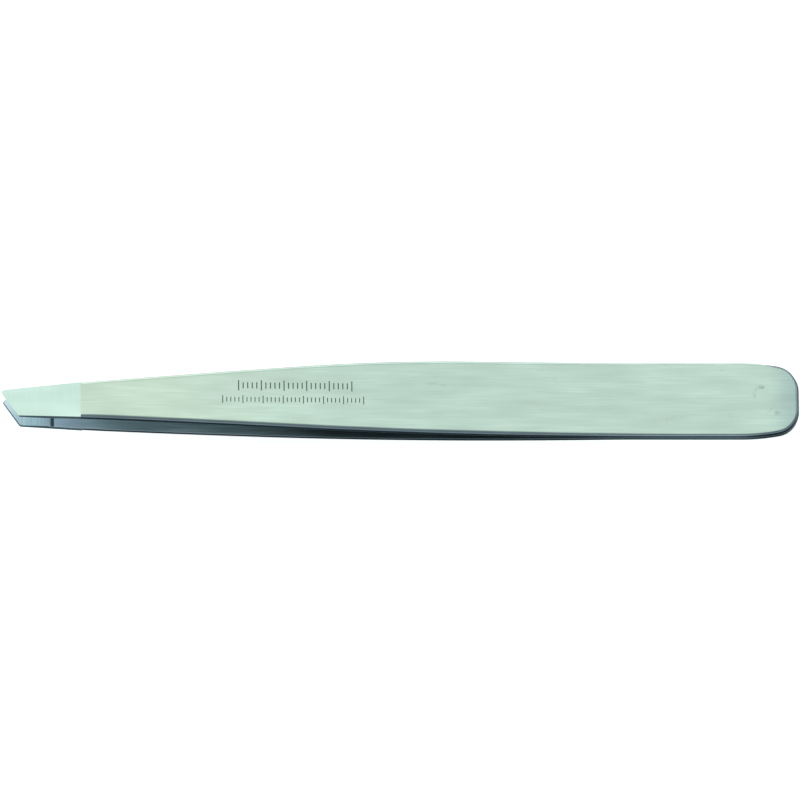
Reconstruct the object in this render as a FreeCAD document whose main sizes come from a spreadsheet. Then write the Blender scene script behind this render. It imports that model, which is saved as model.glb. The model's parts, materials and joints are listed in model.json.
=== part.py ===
import FreeCAD, Part

import math
import os

import Sketcher
from FreeCAD import Placement, Rotation, Vector

# Slant tweezers: two bowed steel arms, spot-welded together over a flat heel.
# +X points from the tip to the heel, +Y to the long point of the slanted tip, +Z up through
# the broad faces. The tool lies on its lower arm, and the origin is under its middle.
#
# The arms are mirror images about the plane in which they are welded, the joint plane.
# Each is drawn outwards from that plane, and one placement at the end lays both arms down.
# An arm is two solids: the welded heel part, and the blade that flexes from it.

# Driving dimensions, in millimetres and degrees.
SIZES = {
    "overall_length": 95.0,
    "blade_thickness": 1.35,
    "edge_radius": 0.3,
    # Side view of an arm, from the heel to the tip. The crest is the bow's highest point.
    "joined_length": 19.0,
    "flexure_radius": 70.0,
    "spread_angle": 3.2,
    "crest_setback": 13.22,
    "belly_radius": 400.0,
    "nose_radius": 55.0,
    "tip_bend": 6.0,
    # Ground faces at the tip.
    "pad_length": 5.8,
    "closed_gap": 0.02,
    "tip_thickness": 0.5,
    "facet_angle": 5.8,
    # Outline of an arm, seen from above. The long side is the side of the long point, and
    # each side's taper starts at a distance from the tip.
    "heel_width": 8.9,
    "heel_corner_radius": 2.8,
    "heel_flank_radius": 26.0,
    "heel_flank_length": 7.0,
    "long_side_taper_start": 56.0,
    "long_side_radius": 250.0,
    "long_side_taper": 4.6,
    "short_side_taper_start": 68.0,
    "short_side_radius": 837.0,
    "short_side_taper": 2.46,
    "slant_angle": 36.0,
    "long_point_radius": 0.35,
    "short_point_radius": 0.3,
    # Spot welds between the heel parts.
    "weld_radius": 1.1,
    "weld_depth": 0.4,
    "front_weld_setback": 4.3,
    "front_weld_offset": 0.6,
    "rear_weld_setback": 3.0,
    "rear_weld_offset": -1.8,
}

# Room that a cutting sketch has beyond the metal that it cuts.
OVERRUN = 3.0

# Places in the side view as expressions: distances along X from the middle, and heights
# out from the joint plane.
HALF_LENGTH = "(Sizes.overall_length / 2)"
FLEXURE_X = "Sizes.flexure_radius * sin(Sizes.spread_angle)"
FLEXURE_Z = "Sizes.flexure_radius * (1 - cos(Sizes.spread_angle))"
BELLY_X = "Sizes.belly_radius * sin(Sizes.spread_angle)"
BELLY_Z = "Sizes.belly_radius * (1 - cos(Sizes.spread_angle))"
NOSE_X = "Sizes.nose_radius * sin(Sizes.tip_bend)"
NOSE_Z = "Sizes.nose_radius * (1 - cos(Sizes.tip_bend))"
ROOT_X = f"({HALF_LENGTH} - Sizes.joined_length - {FLEXURE_X})"
CREST_X = f"(Sizes.crest_setback - {HALF_LENGTH})"
SPREAD_X = f"({ROOT_X} - {CREST_X} - {BELLY_X})"
SPREAD_Z = f"({SPREAD_X} * tan(Sizes.spread_angle))"
CREST_Z = f"({FLEXURE_Z} + {SPREAD_Z} + {BELLY_Z})"
NOSE_END_X = f"({CREST_X} - {NOSE_X})"
NOSE_END_Z = f"({CREST_Z} - {NOSE_Z})"

# The grip pad starts pad_length from the tip, on the inner face. It is ground so that the
# two pads are parallel, closed_gap apart, when the arms are squeezed together.
PAD_X = f"(Sizes.pad_length - {HALF_LENGTH})"
PAD_Z = f"({NOSE_END_Z} - ({NOSE_END_X} - {PAD_X}) * tan(Sizes.tip_bend))"
PAD_REACH = f"({ROOT_X} - {PAD_X})"
PAD_RISE = f"({PAD_Z} - {FLEXURE_Z})"
ROOT_GAP = f"({FLEXURE_Z} - Sizes.closed_gap / 2)"
CLOSING_ANGLE = (
    f"(atan2({PAD_RISE}; {PAD_REACH}) + asin({ROOT_GAP} / hypot({PAD_RISE}; {PAD_REACH})))"
)
PAD_TIP_Z = f"({PAD_Z} + Sizes.pad_length * tan({CLOSING_ANGLE}))"
FACET_TIP_Z = f"({PAD_TIP_Z} + Sizes.tip_thickness)"

# A sketch's own numbers for its origin point and for the points of an edge.
ORIGIN = -1
START, END, CENTRE = 1, 2, 3

# How far along a direction a face's normal must point to count as facing that way, and how
# little it may point up or down to count as a wall.
FACING = 0.9
UPRIGHT = 0.01


def make_sheet(document):
    """Writes the driving dimensions into the sheet."""
    sheet = document.addObject("Spreadsheet::Sheet", "Sizes")
    for row, (name, value) in enumerate(SIZES.items(), start=1):
        sheet.set(f"A{row}", name)
        sheet.set(f"B{row}", str(value))
        sheet.setAlias(f"B{row}", name)
    document.recompute()
    return sheet


def number(sheet, expression):
    """The present value of an expression on the sheet."""
    value = sheet.evalExpression(expression)
    return float(getattr(value, "Value", value))


class Drawing:
    """A sketch in a body. It is drawn near its final shape, and its sizes follow the sheet."""

    def __init__(self, body, name, plane, flipped=False, offset=0.0):
        self.sheet = body.Document.getObject("Sizes")
        self.sketch = body.newObject("Sketcher::SketchObject", name)
        origin = body.Origin.OriginFeatures
        self.sketch.AttachmentSupport = [(next(o for o in origin if o.Role == plane), "")]
        self.sketch.MapMode = "FlatFace"
        turn = Rotation(Vector(1, 0, 0), 180.0 if flipped else 0.0)
        self.sketch.AttachmentOffset = Placement(Vector(0, 0, offset), turn)

    def line(self, start, end):
        """Adds a straight edge and returns its number."""
        return self.sketch.addGeometry(Part.LineSegment(Vector(*start, 0), Vector(*end, 0)), False)

    def arc(self, centre, radius, first, last):
        """Adds an arc that runs anticlockwise between two angles in degrees."""
        circle = Part.Circle(Vector(*centre, 0), Vector(0, 0, 1), radius)
        return self.sketch.addGeometry(
            Part.ArcOfCircle(circle, math.radians(first), math.radians(last)), False
        )

    def rule(self, kind, *items):
        """Adds a geometric constraint."""
        self.sketch.addConstraint(Sketcher.Constraint(kind, *items))

    def size(self, kind, *items, by):
        """Adds a dimension that follows an expression."""
        constraint = Sketcher.Constraint(kind, *items, number(self.sheet, by))
        index = self.sketch.addConstraint(constraint)
        self.sketch.setExpression(f"Constraints[{index}]", by)

    def place(self, edge, point, x=None, y=None):
        """Fixes one point of an edge by its distances from the origin."""
        if x is not None:
            self.size("DistanceX", ORIGIN, START, edge, point, by=x)
        if y is not None:
            self.size("DistanceY", ORIGIN, START, edge, point, by=y)

    def polygon(self, corners):
        """Adds a closed polygon. A corner is a pair of expressions, and both drive it."""
        points = [tuple(number(self.sheet, value) for value in corner) for corner in corners]
        edges = [self.line(a, b) for a, b in zip(points, points[1:] + points[:1])]
        for edge, following in zip(edges, edges[1:] + edges[:1]):
            self.rule("Coincident", edge, END, following, START)
        for edge, corner in zip(edges, corners):
            self.place(edge, START, *corner)


def blade_profile(body, flipped):
    """The side view of a blade: straight spread, belly arc, nose arc and straight tip."""
    drawing = Drawing(body, "BladeProfile", "XZ_Plane", flipped)
    at = {
        name: number(drawing.sheet, expression)
        for name, expression in {
            "root_x": ROOT_X, "root_z": FLEXURE_Z, "crest_x": CREST_X, "crest_z": CREST_Z,
            "run_x": SPREAD_X, "run_z": SPREAD_Z, "nose_x": NOSE_END_X, "nose_z": NOSE_END_Z,
            "half": HALF_LENGTH,
        }.items()
    }
    thickness, spread = SIZES["blade_thickness"], SIZES["spread_angle"]
    belly, nose, bend = SIZES["belly_radius"], SIZES["nose_radius"], SIZES["tip_bend"]
    upright = 90.0
    lean = math.radians(spread)
    dip = math.radians(bend)
    root = at["root_x"], at["root_z"]
    spread_end = root[0] - at["run_x"], root[1] + at["run_z"]
    nose_end = at["nose_x"], at["nose_z"]
    tip_run = at["half"] + OVERRUN + nose_end[0]
    tip = nose_end[0] - tip_run, nose_end[1] - tip_run * math.tan(dip)

    def outside(point, angle):
        return (
            point[0] + thickness * math.sin(angle),
            point[1] + thickness * math.cos(angle),
        )

    belly_centre = at["crest_x"], at["crest_z"] - belly
    nose_centre = at["crest_x"], at["crest_z"] - nose
    spread_in = drawing.line(root, spread_end)
    belly_in = drawing.arc(belly_centre, belly, upright - spread, upright)
    nose_in = drawing.arc(nose_centre, nose, upright, upright + bend)
    tip_in = drawing.line(nose_end, tip)
    tip_cap = drawing.line(tip, outside(tip, -dip))
    tip_out = drawing.line(outside(tip, -dip), outside(nose_end, -dip))
    nose_out = drawing.arc(nose_centre, nose + thickness, upright, upright + bend)
    belly_out = drawing.arc(belly_centre, belly + thickness, upright - spread, upright)
    spread_out = drawing.line(outside(spread_end, lean), outside(root, lean))
    root_cap = drawing.line(outside(root, lean), root)

    drawing.rule("Tangent", spread_in, END, belly_in, START)
    drawing.rule("Tangent", belly_in, END, nose_in, START)
    drawing.rule("Tangent", nose_in, END, tip_in, START)
    drawing.rule("Coincident", tip_in, END, tip_cap, START)
    drawing.rule("Coincident", tip_cap, END, tip_out, START)
    drawing.rule("Tangent", tip_out, END, nose_out, END)
    drawing.rule("Tangent", nose_out, START, belly_out, END)
    drawing.rule("Tangent", belly_out, START, spread_out, START)
    drawing.rule("Coincident", spread_out, END, root_cap, START)
    drawing.rule("Coincident", root_cap, END, spread_in, START)
    drawing.rule("Coincident", belly_in, CENTRE, belly_out, CENTRE)
    drawing.rule("Coincident", nose_in, CENTRE, nose_out, CENTRE)
    drawing.rule("Parallel", spread_in, spread_out)
    drawing.rule("Parallel", tip_in, tip_out)
    drawing.rule("Perpendicular", root_cap, spread_in)
    drawing.rule("Perpendicular", tip_cap, tip_in)
    drawing.rule("Vertical", belly_in, CENTRE, belly_in, END)

    drawing.place(spread_in, START, ROOT_X, FLEXURE_Z)
    drawing.size("DistanceX", spread_in, END, spread_in, START, by=SPREAD_X)
    drawing.size("DistanceY", spread_in, START, spread_in, END, by=SPREAD_Z)
    drawing.size("Radius", belly_in, by="Sizes.belly_radius")
    drawing.size("Radius", nose_in, by="Sizes.nose_radius")
    drawing.size("DistanceX", tip_in, START, nose_in, CENTRE, by=NOSE_X)
    drawing.size("DistanceX", tip_in, END, ORIGIN, START, by=f"{HALF_LENGTH} + {OVERRUN}")
    drawing.size("Distance", root_cap, by="Sizes.blade_thickness")
    return drawing.sketch


def heel_profile(body, flipped):
    """The side view of a heel part: the welded flat, and the arc that starts the spread."""
    drawing = Drawing(body, "HeelProfile", "XZ_Plane", flipped)
    half = number(drawing.sheet, HALF_LENGTH)
    thickness, joined = SIZES["blade_thickness"], SIZES["joined_length"]
    radius, spread = SIZES["flexure_radius"], SIZES["spread_angle"]
    downward = 270.0
    lean = math.radians(spread)
    centre = half - joined, radius

    def on_split(reach):
        return centre[0] - reach * math.sin(lean), centre[1] - reach * math.cos(lean)

    flat_in = drawing.line((half, 0), (half - joined, 0))
    curve_in = drawing.arc(centre, radius, downward - spread, downward)
    split = drawing.line(on_split(radius), on_split(radius - thickness))
    curve_out = drawing.arc(centre, radius - thickness, downward - spread, downward)
    flat_out = drawing.line((half - joined, thickness), (half, thickness))
    end_cap = drawing.line((half, thickness), (half, 0))

    drawing.rule("Tangent", flat_in, END, curve_in, END)
    drawing.rule("Coincident", curve_in, START, split, START)
    drawing.rule("Coincident", split, END, curve_out, START)
    drawing.rule("Tangent", curve_out, END, flat_out, START)
    drawing.rule("Coincident", flat_out, END, end_cap, START)
    drawing.rule("Coincident", end_cap, END, flat_in, START)
    drawing.rule("Coincident", curve_in, CENTRE, curve_out, CENTRE)
    drawing.rule("PointOnObject", curve_in, CENTRE, split)
    drawing.rule("Horizontal", flat_in)
    drawing.rule("Horizontal", flat_out)
    drawing.rule("Vertical", end_cap)
    drawing.rule("PointOnObject", flat_in, START, ORIGIN)

    drawing.place(flat_in, START, HALF_LENGTH)
    drawing.size("DistanceX", flat_in, END, flat_in, START, by="Sizes.joined_length")
    drawing.size("Radius", curve_in, by="Sizes.flexure_radius")
    drawing.size("DistanceX", curve_in, START, flat_in, END, by=FLEXURE_X)
    drawing.size("Distance", end_cap, by="Sizes.blade_thickness")
    return drawing.sketch


def outline(body):
    """The waste around an arm seen from above: a wide frame around the arm's outline."""
    drawing = Drawing(body, "Outline", "XY_Plane")
    half = number(drawing.sheet, HALF_LENGTH)
    wide = SIZES["heel_width"] / 2
    corner, flank = SIZES["heel_corner_radius"], SIZES["heel_flank_radius"]
    flank_start = half - SIZES["heel_flank_length"]
    slant = SIZES["slant_angle"]

    # The small arc of a heel corner touches the end and, inside it, the large flank arc.
    across = math.sqrt((flank - corner) ** 2 - (half - corner - flank_start) ** 2)
    corner_centre = half - corner, wide - flank + across
    lead = math.degrees(math.asin((corner_centre[0] - flank_start) / (flank - corner)))

    def side(sign, name):
        taper_start = SIZES[f"{name}_side_taper_start"] - half
        radius, taper = SIZES[f"{name}_side_radius"], SIZES[f"{name}_side_taper"]
        angle = math.radians(taper)
        end = (
            taper_start - radius * math.sin(angle),
            sign * (wide - radius * (1 - math.cos(angle))),
        )
        return taper_start, radius, taper, end

    def mirrored(first, last, sign):
        return (first, last) if sign > 0 else (360 - last, 360 - first)

    long_side = side(1, "long")
    short_side = side(-1, "short")

    def taper_height(data, sign, x):
        end, angle = data[3], math.radians(data[2])
        return end[1] - sign * (end[0] - x) * math.tan(angle)

    long_radius, short_radius = SIZES["long_point_radius"], SIZES["short_point_radius"]
    long_x = long_radius - half
    long_y = taper_height(long_side, 1, long_x) - long_radius / math.cos(math.radians(long_side[2]))
    cut = math.radians(slant)
    slant_start = long_x - long_radius * math.cos(cut), long_y - long_radius * math.sin(cut)
    drop = slant_start[1] - taper_height(short_side, -1, long_x) - short_radius
    slant_end = slant_start[0] + drop * math.tan(cut), slant_start[1] - drop
    short_centre = slant_end[0] + short_radius * math.cos(cut), slant_end[1] + short_radius * math.sin(cut)

    edges = {}

    def heel_side(sign, name):
        edges[name + "_corner"] = drawing.arc(
            (corner_centre[0], sign * corner_centre[1]), corner, *mirrored(0, 90 - lead, sign)
        )
        edges[name + "_lead"] = drawing.arc(
            (flank_start, sign * (wide - flank)), flank, *mirrored(90 - lead, 90, sign)
        )

    def taper_side(sign, name, data, x_last):
        taper_start, radius, taper, end = data
        edges[name + "_flank"] = drawing.line((flank_start, sign * wide), (taper_start, sign * wide))
        edges[name + "_curve"] = drawing.arc(
            (taper_start, sign * (wide - radius)), radius, *mirrored(90, 90 + taper, sign)
        )
        edges[name + "_taper"] = drawing.line(end, (x_last, taper_height(data, sign, x_last)))

    edges["heel"] = drawing.line((half, -corner_centre[1]), (half, corner_centre[1]))
    heel_side(1, "long")
    taper_side(1, "long", long_side, long_x)
    edges["long_point"] = drawing.arc(
        (long_x, long_y), long_radius, 90 + SIZES["long_side_taper"], 180 + slant
    )
    edges["slant"] = drawing.line(slant_start, slant_end)
    edges["short_point"] = drawing.arc(
        short_centre, short_radius, 180 + slant, 270 - SIZES["short_side_taper"]
    )
    taper_side(-1, "short", short_side, short_centre[0])
    heel_side(-1, "short")

    for a, a_point, b, b_point in (
        ("heel", END, "long_corner", START),
        ("long_corner", END, "long_lead", START),
        ("long_lead", END, "long_flank", START),
        ("long_flank", END, "long_curve", START),
        ("long_curve", END, "long_taper", START),
        ("long_taper", END, "long_point", START),
        ("long_point", END, "slant", START),
        ("slant", END, "short_point", START),
        ("short_point", END, "short_taper", END),
        ("short_taper", START, "short_curve", START),
        ("short_curve", END, "short_flank", END),
        ("short_flank", START, "short_lead", START),
        ("short_lead", END, "short_corner", START),
        ("short_corner", END, "heel", START),
    ):
        drawing.rule("Tangent", edges[a], a_point, edges[b], b_point)
    for name in ("long", "short"):
        drawing.rule("Horizontal", edges[name + "_flank"])
        drawing.size("Radius", edges[name + "_corner"], by="Sizes.heel_corner_radius")
        drawing.size("Radius", edges[name + "_lead"], by="Sizes.heel_flank_radius")
        drawing.size("Radius", edges[name + "_curve"], by=f"Sizes.{name}_side_radius")
        drawing.size("Radius", edges[name + "_point"], by=f"Sizes.{name}_point_radius")
    drawing.rule("Vertical", edges["heel"])
    drawing.place(edges["heel"], START, x=HALF_LENGTH)
    flank_by = f"{HALF_LENGTH} - Sizes.heel_flank_length"
    wide_by = "Sizes.heel_width / 2"
    drawing.place(edges["long_flank"], START, flank_by, wide_by)
    drawing.place(edges["long_flank"], END, x=f"Sizes.long_side_taper_start - {HALF_LENGTH}")
    drawing.place(edges["short_flank"], START, flank_by)
    drawing.size("DistanceY", edges["short_flank"], START, ORIGIN, START, by=wide_by)
    drawing.place(edges["short_flank"], END, x=f"Sizes.short_side_taper_start - {HALF_LENGTH}")
    drawing.size(
        "DistanceX", edges["long_curve"], END, edges["long_curve"], START,
        by="Sizes.long_side_radius * sin(Sizes.long_side_taper)",
    )
    drawing.size(
        "DistanceX", edges["short_curve"], START, edges["short_curve"], END,
        by="Sizes.short_side_radius * sin(Sizes.short_side_taper)",
    )
    drawing.size(
        "DistanceX", edges["long_point"], CENTRE, ORIGIN, START,
        by=f"{HALF_LENGTH} - Sizes.long_point_radius",
    )
    drawing.size(
        "DistanceX", edges["long_point"], END, edges["long_point"], CENTRE,
        by="Sizes.long_point_radius * cos(Sizes.slant_angle)",
    )

    far_x, far_y = f"({HALF_LENGTH} + 2 * {OVERRUN})", f"(Sizes.heel_width / 2 + 2 * {OVERRUN})"
    drawing.polygon(
        [(f"-{far_x}", f"-{far_y}"), (far_x, f"-{far_y}"), (far_x, far_y), (f"-{far_x}", far_y)]
    )
    return drawing.sketch


def pad_cut(body, flipped):
    """The metal that is ground away inside the tip to leave the grip pad."""
    drawing = Drawing(body, "PadCut", "XZ_Plane", flipped)
    beyond = f"(-{HALF_LENGTH} - 2 * {OVERRUN})"
    beyond_z = f"({PAD_Z} + ({PAD_X} - {beyond}) * tan({CLOSING_ANGLE}))"
    back = f"({PAD_X} + {OVERRUN})"
    back_z = f"({PAD_Z} - {OVERRUN} * tan({CLOSING_ANGLE}))"
    below = f"-{OVERRUN}"
    drawing.polygon([(back, back_z), (beyond, beyond_z), (beyond, below), (back, below)])
    return drawing.sketch


def facet_cut(body, flipped):
    """The metal that is ground away outside the tip, down to the tip's thickness."""
    drawing = Drawing(body, "FacetCut", "XZ_Plane", flipped)
    beyond = f"(-{HALF_LENGTH} - 2 * {OVERRUN})"
    beyond_z = f"({FACET_TIP_Z} - 2 * {OVERRUN} * tan(Sizes.facet_angle))"
    back = f"({CREST_X} + {OVERRUN})"
    back_z = f"({FACET_TIP_Z} + ({back} + {HALF_LENGTH}) * tan(Sizes.facet_angle))"
    above = f"({back_z} + {OVERRUN})"
    drawing.polygon([(beyond, beyond_z), (back, back_z), (back, above), (beyond, above)])
    return drawing.sketch


def weld_lens(body, name, setback, offset):
    """Half of a spot weld's section, on one side of its upright axis."""
    centre = f"({HALF_LENGTH} - Sizes.{setback})"
    drawing = Drawing(body, name, "XZ_Plane", offset=-SIZES[offset])
    drawing.sketch.setExpression("AttachmentOffset.Base.z", f"-Sizes.{offset}")
    radius, depth = SIZES["weld_radius"], SIZES["weld_depth"]
    at = number(drawing.sheet, centre)
    sphere = (radius**2 + depth**2) / (2 * depth)
    reach = math.degrees(math.asin(radius / sphere))
    dome = drawing.arc((at, depth - sphere), sphere, 90 - reach, 90)
    axis = drawing.line((at, depth), (at, -depth))
    bowl = drawing.arc((at, sphere - depth), sphere, 270, 270 + reach)
    drawing.rule("Coincident", dome, END, axis, START)
    drawing.rule("Coincident", axis, END, bowl, START)
    drawing.rule("Coincident", bowl, END, dome, START)
    drawing.rule("Vertical", axis)
    drawing.rule("Vertical", dome, CENTRE, dome, END)
    drawing.rule("Vertical", bowl, CENTRE, bowl, START)
    drawing.rule("PointOnObject", dome, START, ORIGIN)
    drawing.place(axis, START, centre, "Sizes.weld_depth")
    drawing.size("DistanceY", axis, END, ORIGIN, START, by="Sizes.weld_depth")
    drawing.place(dome, START, x=f"{centre} + Sizes.weld_radius")
    return drawing.sketch, axis


def add_pad(body, sketch):
    """Extrudes a side view both ways, wider than the arm."""
    pad = body.newObject("PartDesign::Pad", "Blank")
    pad.Profile = sketch
    pad.Midplane = True
    pad.setExpression("Length", f"Sizes.heel_width + {OVERRUN}")
    body.Document.recompute()
    return pad


def add_cut(body, sketch, name):
    """Cuts a sketch right through the body, both ways."""
    before = body.Shape.Volume
    pocket = body.newObject("PartDesign::Pocket", name)
    pocket.Profile = sketch
    pocket.Type = "ThroughAll"
    pocket.Midplane = True
    body.Document.recompute()
    if not pocket.Shape.Volume < before:
        raise ValueError(f"{body.Label}: {name} cuts nothing")
    return pocket


def add_turn(body, kind, lens, name):
    """Turns a weld's section about its upright axis, as metal or as a hollow."""
    sketch, axis = lens
    turn = body.newObject(kind, name)
    turn.Profile = sketch
    turn.ReferenceAxis = (sketch, [f"Edge{axis + 1}"])
    turn.Angle = 360.0
    body.Document.recompute()
    return turn


def outer_edges(shape, outward, is_split):
    """The names of the edges between the outer face and the walls of the outline."""
    names = []
    for count, edge in enumerate(shape.Edges, start=1):
        middle = edge.valueAt((edge.FirstParameter + edge.LastParameter) / 2)
        normals = []
        for face in shape.ancestorsOfType(edge, Part.Face):
            u, v = face.Surface.parameter(middle)
            normals.append(face.normalAt(u, v))
        tops = [n for n in normals if n.z * outward > FACING]
        walls = [n for n in normals if abs(n.z) < UPRIGHT and not is_split(n)]
        if tops and walls:
            names.append(f"Edge{count}")
    return names


def add_rounding(body, feature, outward, is_split):
    """Rounds the outer edges as the tumbled blank has them."""
    fillet = body.newObject("PartDesign::Fillet", "OuterRounding")
    fillet.Base = (feature, outer_edges(feature.Shape, outward, is_split))
    fillet.setExpression("Radius", "Sizes.edge_radius")
    body.Document.recompute()
    return fillet


def make_blade(document, label, outward):
    """One arm's flexing blade, as far as the slanted tip."""
    body = document.addObject("PartDesign::Body", label)
    flipped = outward < 0
    add_pad(body, blade_profile(body, flipped))
    blank = add_cut(body, outline(body), "Blanking")
    add_rounding(body, blank, outward, lambda normal: abs(normal.y) < FACING)
    add_cut(body, facet_cut(body, flipped), "OuterFacet")
    add_cut(body, pad_cut(body, flipped), "GripPad")
    return body


def make_heel(document, label, outward):
    """One arm's welded heel part, with the hollows that the weld metal fills."""
    body = document.addObject("PartDesign::Body", label)
    add_pad(body, heel_profile(body, outward < 0))
    blank = add_cut(body, outline(body), "Blanking")
    add_rounding(body, blank, outward, lambda normal: normal.x < -FACING)
    for name in ("front", "rear"):
        lens = weld_lens(body, f"{name}_lens", f"{name}_weld_setback", f"{name}_weld_offset")
        add_turn(body, "PartDesign::Groove", lens, f"{name}_hollow")
    return body


def make_weld(document, label, name):
    """The nugget of fused metal of one spot weld, half in each arm."""
    body = document.addObject("PartDesign::Body", label)
    lens = weld_lens(body, f"{name}_lens", f"{name}_weld_setback", f"{name}_weld_offset")
    add_turn(body, "PartDesign::Revolution", lens, "Nugget")
    return body


def resting_turn(sheet):
    """The turn that lays the tool down: its belly and its heel's lower corner touch."""
    radius = SIZES["edge_radius"]
    heel = number(sheet, HALF_LENGTH) - radius, radius - SIZES["blade_thickness"]
    belly_radius = SIZES["belly_radius"] + SIZES["blade_thickness"]
    belly = number(sheet, CREST_X), SIZES["belly_radius"] - number(sheet, CREST_Z)
    along, across = heel[0] - belly[0], heel[1] - belly[1]
    between = math.hypot(along, across)
    tilt = math.atan2(across, along) + math.asin((belly_radius - radius) / between)
    return Rotation(Vector(0, 1, 0), math.degrees(tilt))


def lay_down(parts, sheet):
    """Places the parts as they rest, with the origin under the middle of their box."""
    turn = resting_turn(sheet)
    box = FreeCAD.BoundBox()
    for part in parts:
        shape = part.Shape.copy()
        shape.Placement = Placement(Vector(0, 0, 0), turn)
        box.add(shape.optimalBoundingBox(False))
    for part in parts:
        part.Placement = Placement(Vector(-box.Center.x, 0, -box.ZMin), turn)


def check(document, parts):
    """Stops if any object failed, or a part isn't one sound solid."""
    for thing in document.Objects:
        if {"Invalid", "Error"} & set(thing.State):
            raise ValueError(f"{thing.Label} failed: {thing.State}")
    for part in parts:
        if part.Shape.isNull() or not part.Shape.isValid() or len(part.Shape.Solids) != 1:
            raise ValueError(f"{part.Label} isn't one sound solid")


def report_places(sheet, laid):
    """Prints where the joints and the heel's flats are, as the tool lies."""
    root_x, root_z = number(sheet, ROOT_X), number(sheet, FLEXURE_Z)
    flat_x = number(sheet, f"{HALF_LENGTH} - Sizes.joined_length / 2")
    flat_z = SIZES["blade_thickness"]
    for side, sign in (("upper", 1), ("lower", -1)):
        print(side, "hinge at", laid.multVec(Vector(root_x, 0, sign * root_z)))
        print(side, "heel flat at", laid.multVec(Vector(flat_x, 0, sign * flat_z)))
    print("normal", laid.Rotation.multVec(Vector(0, 0, 1)))
    print("closing angle", number(sheet, CLOSING_ANGLE))


def main():
    document = FreeCAD.newDocument("SlantTweezers")
    sheet = make_sheet(document)
    parts = [
        make_heel(document, "upper_arm_heel", 1),
        make_blade(document, "upper_arm_blade", 1),
        make_heel(document, "lower_arm_heel", -1),
        make_blade(document, "lower_arm_blade", -1),
        make_weld(document, "front_weld_nugget", "front"),
        make_weld(document, "rear_weld_nugget", "rear"),
    ]
    document.recompute()
    lay_down(parts, sheet)
    document.recompute()
    check(document, parts)

    os.makedirs("parts", exist_ok=True)
    for part in parts:
        part.Shape.exportStep(f"parts/{part.Label}.step")
        print(f"{part.Label}: {part.Shape.Volume:.2f} mm3")
    report_places(sheet, parts[0].Placement)


main()
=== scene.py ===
import enum
import json
import logging
import math
from dataclasses import dataclass, field
from typing import Union

import bpy
import numpy as np
from mathutils import Matrix, Vector


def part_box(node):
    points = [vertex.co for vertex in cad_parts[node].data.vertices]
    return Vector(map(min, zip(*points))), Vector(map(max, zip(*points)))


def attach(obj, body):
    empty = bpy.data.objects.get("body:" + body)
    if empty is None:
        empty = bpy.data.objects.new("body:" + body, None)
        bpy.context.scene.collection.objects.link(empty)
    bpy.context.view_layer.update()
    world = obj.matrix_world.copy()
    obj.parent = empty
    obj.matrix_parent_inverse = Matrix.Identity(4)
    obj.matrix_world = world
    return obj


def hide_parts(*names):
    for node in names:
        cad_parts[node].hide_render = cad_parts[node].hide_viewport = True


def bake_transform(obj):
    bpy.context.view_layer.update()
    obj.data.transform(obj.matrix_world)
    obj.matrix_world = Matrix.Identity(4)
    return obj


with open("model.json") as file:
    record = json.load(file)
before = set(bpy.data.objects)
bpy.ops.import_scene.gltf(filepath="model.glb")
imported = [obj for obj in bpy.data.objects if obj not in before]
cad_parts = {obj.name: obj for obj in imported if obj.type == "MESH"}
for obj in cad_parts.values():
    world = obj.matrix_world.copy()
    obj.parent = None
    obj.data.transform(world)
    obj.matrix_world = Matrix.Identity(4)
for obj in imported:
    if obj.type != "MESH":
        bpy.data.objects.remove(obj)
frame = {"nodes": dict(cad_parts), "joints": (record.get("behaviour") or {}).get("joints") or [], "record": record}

# Slant tweezers: two bowed strips of spring steel, spot-welded over a flat rounded heel.
# An arm is made as a maker makes it: a flat blank is cut, then formed along a side line, then
# ground at the tip. Blank and side line are in millimetres. They are drawn in the joint
# plane's own frame: x along the tool from its middle, y across it towards the long point,
# z out from the plane in which the arms are welded.

MM = 0.001
ACROSS = Vector((0, 1, 0))
LOWER_ARM_SLIP = 0.25

log = logging.getLogger("slant_tweezers")
Number = Union[float, "Wire"]
Colour = tuple[float, float, float]
Span = tuple[float, float]


# ---------------------------------------------------------------- nodes

class Wire:
    """A number that flows through a node tree. Operators on it add Math nodes."""

    def __init__(self, tree: "Tree", socket: bpy.types.NodeSocket) -> None:
        """Wraps one output socket of a tree."""
        self.tree = tree
        self.socket = socket

    def __add__(self, other: Number) -> "Wire":
        """self + other."""
        return self.tree.math("ADD", self, other)

    def __radd__(self, other: Number) -> "Wire":
        """other + self."""
        return self.tree.math("ADD", other, self)

    def __sub__(self, other: Number) -> "Wire":
        """self - other."""
        return self.tree.math("SUBTRACT", self, other)

    def __rsub__(self, other: Number) -> "Wire":
        """other - self."""
        return self.tree.math("SUBTRACT", other, self)

    def __mul__(self, other: Number) -> "Wire":
        """self * other."""
        return self.tree.math("MULTIPLY", self, other)

    def __rmul__(self, other: Number) -> "Wire":
        """other * self."""
        return self.tree.math("MULTIPLY", other, self)

    def __truediv__(self, other: Number) -> "Wire":
        """self / other."""
        return self.tree.math("DIVIDE", self, other)

    def __lt__(self, other: Number) -> "Wire":
        """1 where self is below other, else 0."""
        return self.tree.math("LESS_THAN", self, other)

    def __gt__(self, other: Number) -> "Wire":
        """1 where self is above other, else 0."""
        return self.tree.math("GREATER_THAN", self, other)

    def at_least(self, other: Number) -> "Wire":
        """The greater of self and other."""
        return self.tree.math("MAXIMUM", self, other)

    def at_most(self, other: Number) -> "Wire":
        """The lesser of self and other."""
        return self.tree.math("MINIMUM", self, other)


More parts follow.
